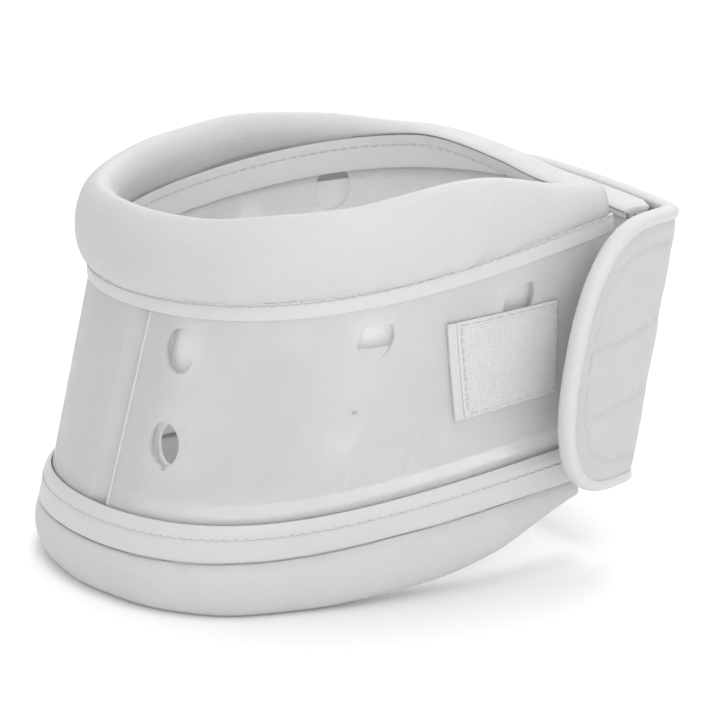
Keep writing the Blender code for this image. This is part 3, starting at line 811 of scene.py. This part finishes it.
class EdgePath:
    """A path on the strap by length, with the direction that points inwards from it."""

    def __init__(self, points):
        self.points = points
        self.lengths = [0.0]
        for a, b in zip(points[:-1], points[1:]):
            self.lengths.append(self.lengths[-1] + math.hypot(b[0] - a[0], b[1] - a[1]))
        self.total = self.lengths[-1]

    def at(self, length):
        low, high = 0, len(self.lengths) - 1
        while high - low > 1:
            middle = (low + high) // 2
            if self.lengths[middle] <= length:
                low = middle
            else:
                high = middle
        a, b = self.points[low], self.points[high]
        f = (length - self.lengths[low]) / max(1e-9, self.lengths[high] - self.lengths[low])
        n = math.hypot(b[0] - a[0], b[1] - a[1])
        l, r = a[0] + (b[0] - a[0]) * f, a[1] + (b[1] - a[1]) * f
        return l, r, -(b[1] - a[1]) / n, (b[0] - a[0]) / n


# The border stitching's distance from the long edges and from the tip.
BORDER, BORDER_TIP = 8.2, 6.2
# Lines quilted across the tab, as (height at the fold, height at the free edge).
QUILT = ((43.5, 38.0), (25.4, 20.8))


def quilt_line(ends, l):
    """Height of a quilted line at l: a shallow sagging curve."""
    f = max(0.0, l) / TAB_LENGTH
    return ends[0] + (ends[1] - ends[0]) * f - 1.2 * math.sin(math.pi * f)


def quilt_depth(l, r):
    """How far the cloth is pulled in at a point of the strap, by its border stitching and quilted lines."""
    if l >= TAB_LENGTH - BORDER_TIP:
        low = high = TALL / 2
        away = math.hypot(l - TAB_LENGTH + BORDER_TIP, max(0.0, abs(r - low) - 2.0))
        return math.exp(-(away / 0.8) ** 2)
    low, high = strap_edges(l, BORDER, BORDER_TIP)
    inside = min(r - low, high - r)
    tip_slope = 1.0 - 0.55 * smooth(TAB_STRAIGHT + 8.0, TAB_LENGTH - BORDER_TIP, l)
    pull = math.exp(-(inside * tip_slope / 0.8) ** 2) * smooth(0.0, 4.5, abs(l))
    if inside > 0.0:
        for ends in QUILT:
            pull = max(pull, math.exp(-((r - quilt_line(ends, l)) / 0.9) ** 2) * smooth(0.0, 5.0, l))
    return pull


def strap_thickness(l, r, face):
    low, high = strap_edges(l, 0.0)
    edge = min(r - low, high - r, (TAB_LENGTH - l) * 1.2, (l - ROOT_START) * 1.2)
    thick = 1.0 + 0.95 * smooth(0.5, 5.5, edge)
    if face > 0:
        thick -= 0.60 * quilt_depth(l, r)
        thick += 0.22 * ripple(Vector((l, r, 0.0)), 9.0, 4.0) + 0.12 * ripple(Vector((l, r, 0.0)), 3.2, 6.0)
    return thick


def strap_columns():
    root = between(ROOT_START + 1.0, -BEND, 110)
    fold = between(-BEND, BEND, 16)[1:-1]
    straight = between(BEND, TAB_STRAIGHT, 10)
    tip = [TAB_STRAIGHT + (TAB_LENGTH - 1.2 - TAB_STRAIGHT) * math.sin(a) for a in between(0.0, math.pi / 2, 70)[1:]]
    return root + fold + straight + tip


def strap_layer(name, inner, outer, inset, rows):
    """A layer of the strap in one piece across the fold. inner and outer give how far out its faces are."""
    rings = []
    us = strap_columns()
    us = [l for l in us if l < TAB_LENGTH - inset - 0.05]
    for l in us:
        low, high = strap_edges(l, inset)
        rs = between(low, high, rows)
        ring = [strap(l, r, outer(l, r)) for r in rs] + [strap(l, r, inner(l, r)) for r in reversed(rs)]
        rings.append(ring)
    return loft(name, rings, us)


def strap_pad():
    return strap_layer("strap_pad", lambda l, r: -1.15, lambda l, r: strap_thickness(l, r, 1), 1.1, 110)


def strap_lining():
    def outer(l, r):
        return -1.2

    def inner(l, r):
        return -1.75 - 0.10 * ripple(Vector((l, r, 0.0)), 5.0, 8.0)

    return strap_layer("strap_loop_cloth", inner, outer, 1.3, 60)


def strap_binding():
    """The cloth binding folded over the strap's edge, all the way round."""
    path = EdgePath(strap_outline(0.0))
    face, back, wide = 2.15, -2.2, 2.6
    section = spline([(wide, 1.25), (wide - 0.10, face - 0.45), (wide - 0.5, face - 0.22), (1.3, face),
                      (0.4, face - 0.1), (-0.25, face * 0.55), (-0.45, 0.0), (-0.25, back * 0.55), (0.4, back + 0.1),
                      (1.3, back), (wide - 0.5, back + 0.1), (wide - 0.10, back + 0.25), (wide, -1.5)], 3)
    section += [(wide - 0.4, -1.3), (1.3, -1.25), (0.7, -0.6), (0.6, 0.0), (0.7, 0.6), (1.3, 0.95), (wide - 0.4, 1.1)]
    rings = []
    us = between(0.0, path.total, 420)
    for length in us:
        l, r, il, ir = path.at(length)
        swell = 0.10 * ripple(Vector((length, 0.0, 0.0)), 5.0, 2.0)
        ring = []
        for a, out in section:
            out += math.copysign(swell, out) if abs(out) > 1.6 else 0.0
            ring.append(strap(l + il * (a + 0.5), r + ir * (a + 0.5), out))
        rings.append(ring)
    return loft("strap_edge_binding", rings, us)


def strap_threads():
    """Border stitching on both faces, and the quilted lines across the tab."""
    made = []

    def line_of(path, side=1.0):
        def at(length):
            l, r, _, _ = path.at(length)
            out = strap_thickness(l, r, 1) - 0.05 if side > 0 else -1.85
            return strap(l, r, out), strap_normal(l, r) * side
        return at

    border = EdgePath(strap_outline(BORDER, BORDER_TIP))
    made.append(stitches("strap_border_stitches", line_of(border), border.total, 2.6, 2.1, 0.15, 0.10))
    made.append(stitches("strap_border_stitches_inside", line_of(border, -1.0), border.total, 2.6, 2.1, 0.15, 0.10))
    for i, ends in enumerate(QUILT):
        line = [(l, quilt_line(ends, l)) for l in between(1.0, TAB_LENGTH - BORDER_TIP - 0.5, 60)]
        line = [(l, r) for l, r in line if strap_edges(l, BORDER, BORDER_TIP)[0] < r]
        quilt = EdgePath(line)
        made.append(stitches(f"strap_quilt_stitches_{i}", line_of(quilt), quilt.total, 2.6, 2.1, 0.13, 0.08))
    return made


def blend_over_fold(piece):
    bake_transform(piece)


# ---------------------------------------------------------------------------
# Hook patch.
# ---------------------------------------------------------------------------
def patch_surface(s, v, out):
    t = 1.600 + 0.134 * s + (0.050 - 0.002 * s) * (1.0 - v)
    z = 39.5 - 1.0 * s + (28.3 - 2.5 * s) * v
    return shell(t, z, out)


def hook_patch():
    """Hook tape: a thin backing with rows of tiny bent hooks."""
    tall = 27.0
    rings = []
    for s in between(0.065, 1.0, 50):
        section = strip_outline(0.0, tall, 1.95, 2.30, 30, 0.14)
        rings.append([patch_surface(s, v / tall, out + 0.05 * ripple(Vector((s * 26, v, 0.0)), 6.0)) for v, out in section])
    base = loft("hook_patch_backing", rings)
    bm = bmesh.new()
    thick = 0.11
    bend = ((0.0, 0.0), (0.0, 0.20), (0.08, 0.32), (0.20, 0.36), (0.30, 0.29))
    random.seed(4)
    wide = 26.0
    columns, rows = 32, 33
    for i in range(columns):
        for j in range(rows):
            s = 0.075 + 0.915 * (i + 0.5) / columns
            v = (j + 0.5) / rows
            lean = 1.0 if j % 2 else -1.0
            size = random.uniform(0.85, 1.1)
            rings = []
            for along, up in bend:
                corners = []
                for a, b in ((-1, -1), (1, -1), (1, 1), (-1, 1)):
                    ds = (along * lean * size + a * thick) / wide
                    dv = b * thick / tall
                    corners.append(bm.verts.new(patch_surface(s + ds, v + dv, 2.28 + up * size) * MM))
                rings.append(corners)
            for low, high in zip(rings[:-1], rings[1:]):
                for k in range(4):
                    bm.faces.new((low[k], low[(k + 1) % 4], high[(k + 1) % 4], high[k]))
            bm.faces.new(rings[0])
            bm.faces.new(rings[-1])
    hooks = finish_mesh("hook_patch_hooks", bm)
    return base, hooks


def patch_selvedge():
    tall = 27.6
    rings = []
    for s in between(-0.012, 0.060, 8):
        section = strip_outline(0.0, tall, 1.95, 2.55, 24, 0.2)
        rings.append([patch_surface(s, v / tall, out) for v, out in section])
    return loft("patch_selvedge_tape", rings)


def patch_threads():
    """Stitching round the hook patch, a millimetre in from its edge."""
    corners = ((0.10, 0.04), (0.96, 0.04), (0.96, 0.96), (0.10, 0.96), (0.10, 0.04))
    points = []
    for (a, b), (c, d) in zip(corners[:-1], corners[1:]):
        points += [(a + (c - a) * i / 12, b + (d - b) * i / 12) for i in range(12)]
    points.append(corners[-1])
    path = EdgePath([(s * 26.0, v * 27.0) for s, v in points])

    def at(length):
        x, y, _, _ = path.at(length)
        here = patch_surface(x / 26.0, y / 27.0, 2.34)
        return here, (patch_surface(x / 26.0, y / 27.0, 3.34) - here).normalized()

    return stitches("hook_patch_stitches", at, path.total, 2.6, 2.2, 0.13, 0.22)


# ---------------------------------------------------------------------------
# The shell's lap seams and small dark pips.
# ---------------------------------------------------------------------------
LAP_T = 0.25
SEAM_WIDE_T = 0.0042
SHELL_LOW, SHELL_TOP = 12.8, 77.3


def lap_seam(name, side):
    """The melted edge where a side panel is welded over the chin panel, as a fine clear bead whose lighter plastic is
    a painted highlight along the edge.
    """
    rings = []
    for z in between(SHELL_LOW, SHELL_TOP, 120):
        edge = 1.0 + side * (LAP_T - SEAM_WIDE_T * 0.1)
        ring = []
        for a in between(0.0, 2 * math.pi, 11)[:-1]:
            bump = 1.0 + 0.10 * ripple(Vector((z, side, 0.0)), 2.2)
            t = edge - side * SEAM_WIDE_T * 0.5 * (1.0 - math.cos(a) * bump)
            ring.append(shell(t, z, 1.12 + 0.66 * math.sin(a) * bump))
        rings.append(ring)
    return loft(name, rings)


DARK_PIPS = ((1.322, 36.0), (1.532, 49.4))


def dark_pip(name, t, z):
    """A small dark pip with a sunken middle."""
    centre = shell(t, z, 1.66)
    out = (shell(t, z, 2.66) - centre).normalized()
    up = (shell(t, z + 1.0, 1.66) - centre).normalized()
    side = up.cross(out).normalized()
    rings = []
    for radius, height in ((0.62, -0.05), (0.55, 0.10), (0.42, 0.14), (0.30, 0.04), (0.20, -0.10)):
        ring = []
        for a in between(0.0, 2 * math.pi, 17)[:-1]:
            ring.append(centre + out * height + (side * math.cos(a) + up * math.sin(a)) * radius)
        rings.append(ring)
    return loft(name, rings)


# ---------------------------------------------------------------------------
# Making it all.
# ---------------------------------------------------------------------------
def give(piece, material, body=None, replaces=()):
    piece.data.materials.clear()
    piece.data.materials.append(material)
    if replaces:
        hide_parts(*replaces)
    if body:
        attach(piece, body)
    return piece


def paint_node(name, material):
    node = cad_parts[name]
    if node.material_slots:
        for place in node.material_slots:
            place.link = "OBJECT"
            place.material = material
    else:
        node.data.materials.append(material)


def build():
    vinyl = leatherette()
    thread = thread_look()
    cloth = strap_cloth()
    bright = binding_cloth()
    loop = loop_look()
    hook = hook_look()
    outer_sheet = clear_sheet("shell_plastic", 0.80, 0.54, 0.34)
    # Painted light: the band's plastic is lighter and less clear than the shell's (0.93 against 0.80), which
    # brightens the shaded inside of the collar.
    inner_sheet = clear_sheet("band_plastic", 0.93, 0.30, 0.36)

    roll = give(chin_roll(), vinyl, "upper_collar", ("rim_cover", "rim_foam"))
    pad = give(lower_pad(), vinyl, "lower_collar", ("base_cover", "base_foam"))

    def tape_band_top(t):
        return band_top(t) + 1.0

    tapes = (
        ("rim_tape_outer", "upper_collar", lambda t: 77.36, lambda t: 81.8, 1.1, 2.15, lambda t: 80.95, 2.7, 1.0),
        ("rim_tape_inner", "upper_collar", lambda t: 80.8, lambda t: tape_band_top(t) + 0.9, -4.0, -4.7,
         lambda t: tape_band_top(t) - 1.6, 2.7, -1.0),
        ("base_tape_outer", "lower_collar", lambda t: 12.2, lambda t: 22.1, 2.8, 3.5, lambda t: 18.2, 2.7, 1.0),
        ("base_tape_inner", "lower_collar", lambda t: 13.6, lambda t: 22.1, -1.9, -2.7, lambda t: 18.2, 2.7, -1.0),
    )
    for i, (name, body, low, high, inner, outer, sew, pitch, side) in enumerate(tapes):
        lean = BASE_LEAN if name == "base_tape_outer" else 0.0
        ends = sorted((inner, outer))
        piece, table = tape(name + "_sewn", low, high, *ends, sew, lean=lean, seed=float(i))
        sewn_at = sew(1.0) - low(1.0) + 0.15
        # Painted light: the inner tapes are the same tape as the outer ones. They get a lighter tone (0.70 against
        # 0.56) to brighten the shaded inside of the collar.
        look = tape_look(name + "_look", 0.56 if side > 0 else 0.70, pitch, sewn_at, 1.5 - 0.17 - pitch / 2)
        give(piece, look, body, (name,))
        face = outer
        give(tape_thread(name + "_stitches", table, sew, face - side * 0.12, pitch, side), thread, body)

    base, hooks = hook_patch()
    give(base, hook, "lower_collar", ("hook_patch",))
    give(hooks, hook, "lower_collar")
    give(patch_selvedge(), bright, "lower_collar", ("patch_selvedge",))
    give(patch_threads(), thread, "lower_collar")

    strap_body = give(strap_pad(), cloth, None,
                      ("strap_foam", "strap_face", "tab_foam", "tab_face", "strap_fold"))
    lining = give(strap_lining(), loop, None, ("strap_lining", "tab_loop_lining"))
    binding = give(strap_binding(), bright, None,
                   ("strap_binding_low", "strap_binding_high", "tab_binding"))
    blended = [strap_body, lining, binding]
    for piece in strap_threads():
        blended.append(give(piece, thread))
    for piece in blended:
        blend_over_fold(piece)

    for name in ("chin_panel", "side_panel_near", "side_panel_far"):
        paint_node(name, outer_sheet)
    # The bead's plastic is lighter and less clear than the shell's, a painted highlight along the lap edge.
    seam = clear_sheet("seam_highlight_plastic", 0.82, 0.35, 0.34)
    for name, side in (("near", 1.0), ("far", -1.0)):
        give(lap_seam("lap_seam_" + name, side), seam, "lower_collar")
    # The pips are a dark plastic (0.45), much darker than the shell.
    mark = clear_sheet("dark_pip_plastic", 0.45, 0.15, 0.35)
    for i, (t, z) in enumerate(DARK_PIPS):
        give(dark_pip(f"dark_pip_{i}", t, z), mark, "lower_collar")
    paint_node("inner_band", inner_sheet)
    paint_node("strap_anchor", bright)
    for side in ("near", "far"):
        paint_node("height_hook_" + side, hook)
        paint_node("height_loop_" + side, loop)


# ---------------------------------------------------------------------------
# Floor, light and camera.
# ---------------------------------------------------------------------------
CAM_AZIMUTH, CAM_ELEVATION, CAM_ROLL = 7.45, 19.05, -1.32
CAM_DISTANCE = 1012.5
CAM_TARGET = Vector((8.5, 1.22, 52.5))
CAM_LENS = 206.7
CAM_SHIFT = (-0.0367, -0.0211)


def stage_and_light():
    bm = bmesh.new()
    bmesh.ops.create_grid(bm, x_segments=2, y_segments=2, size=6.0)
    mesh = bpy.data.meshes.new("floor")
    bm.to_mesh(mesh)
    bm.free()
    floor = bpy.data.objects.new("floor", mesh)
    bpy.context.scene.collection.objects.link(floor)
    floor.location.z = -0.0002
    look = Look("floor_paint", (0.95, 0.95, 0.95), 0.9, Specular_IOR_Level=0.1)
    look.shade(look.noise(300.0, 2.0), 0.995, 1.005)
    floor.data.materials.append(look.done())
    world = bpy.data.worlds.new("studio")
    world.use_nodes = True
    world.node_tree.nodes["Background"].inputs["Color"].default_value = (1.0, 1.0, 1.0, 1.0)
    world.node_tree.nodes["Background"].inputs["Strength"].default_value = 0.78
    bpy.context.scene.world = world
    lights = (("front", (0.30, -1.10, 0.40), 0.7, 3.8), ("key", (0.55, -0.75, 1.05), 0.8, 2.4),
              ("back", (0.15, 1.1, 0.75), 0.9, 5.0), ("top", (0.0, 0.05, 1.3), 0.8, 5.0))
    for name, place, size, power in lights:
        data = bpy.data.lights.new(name, "AREA")
        data.shape = "DISK"
        data.size = size
        data.energy = power
        lamp = bpy.data.objects.new(name, data)
        lamp.location = place
        lamp.rotation_mode = "QUATERNION"
        lamp.rotation_quaternion = (Vector((0.0, 0.0, 0.05)) - Vector(place)).to_track_quat("-Z", "Y")
        bpy.context.scene.collection.objects.link(lamp)
    bpy.context.scene.view_settings.view_transform = "Standard"


def camera():
    a, e = math.radians(CAM_AZIMUTH), math.radians(CAM_ELEVATION)
    roll = math.radians(CAM_ROLL)
    back = Vector((math.sin(a) * math.cos(e), -math.cos(a) * math.cos(e), math.sin(e)))
    right = Vector((math.cos(a), math.sin(a), 0.0))
    up = back.cross(right)
    across = right * math.cos(roll) + up * math.sin(roll)
    upward = up * math.cos(roll) - right * math.sin(roll)
    data = bpy.data.cameras.new("camera")
    data.lens = CAM_LENS
    data.sensor_width = 36.0
    data.shift_x, data.shift_y = CAM_SHIFT
    data.clip_start, data.clip_end = 0.05, 20.0
    made = bpy.data.objects.new("camera", data)
    turn = Matrix((across, upward, back)).transposed()
    made.matrix_world = Matrix.Translation((CAM_TARGET + back * CAM_DISTANCE) * MM) @ turn.to_4x4()
    bpy.context.scene.collection.objects.link(made)
    bpy.context.scene.camera = made


build()
stage_and_light()
camera()
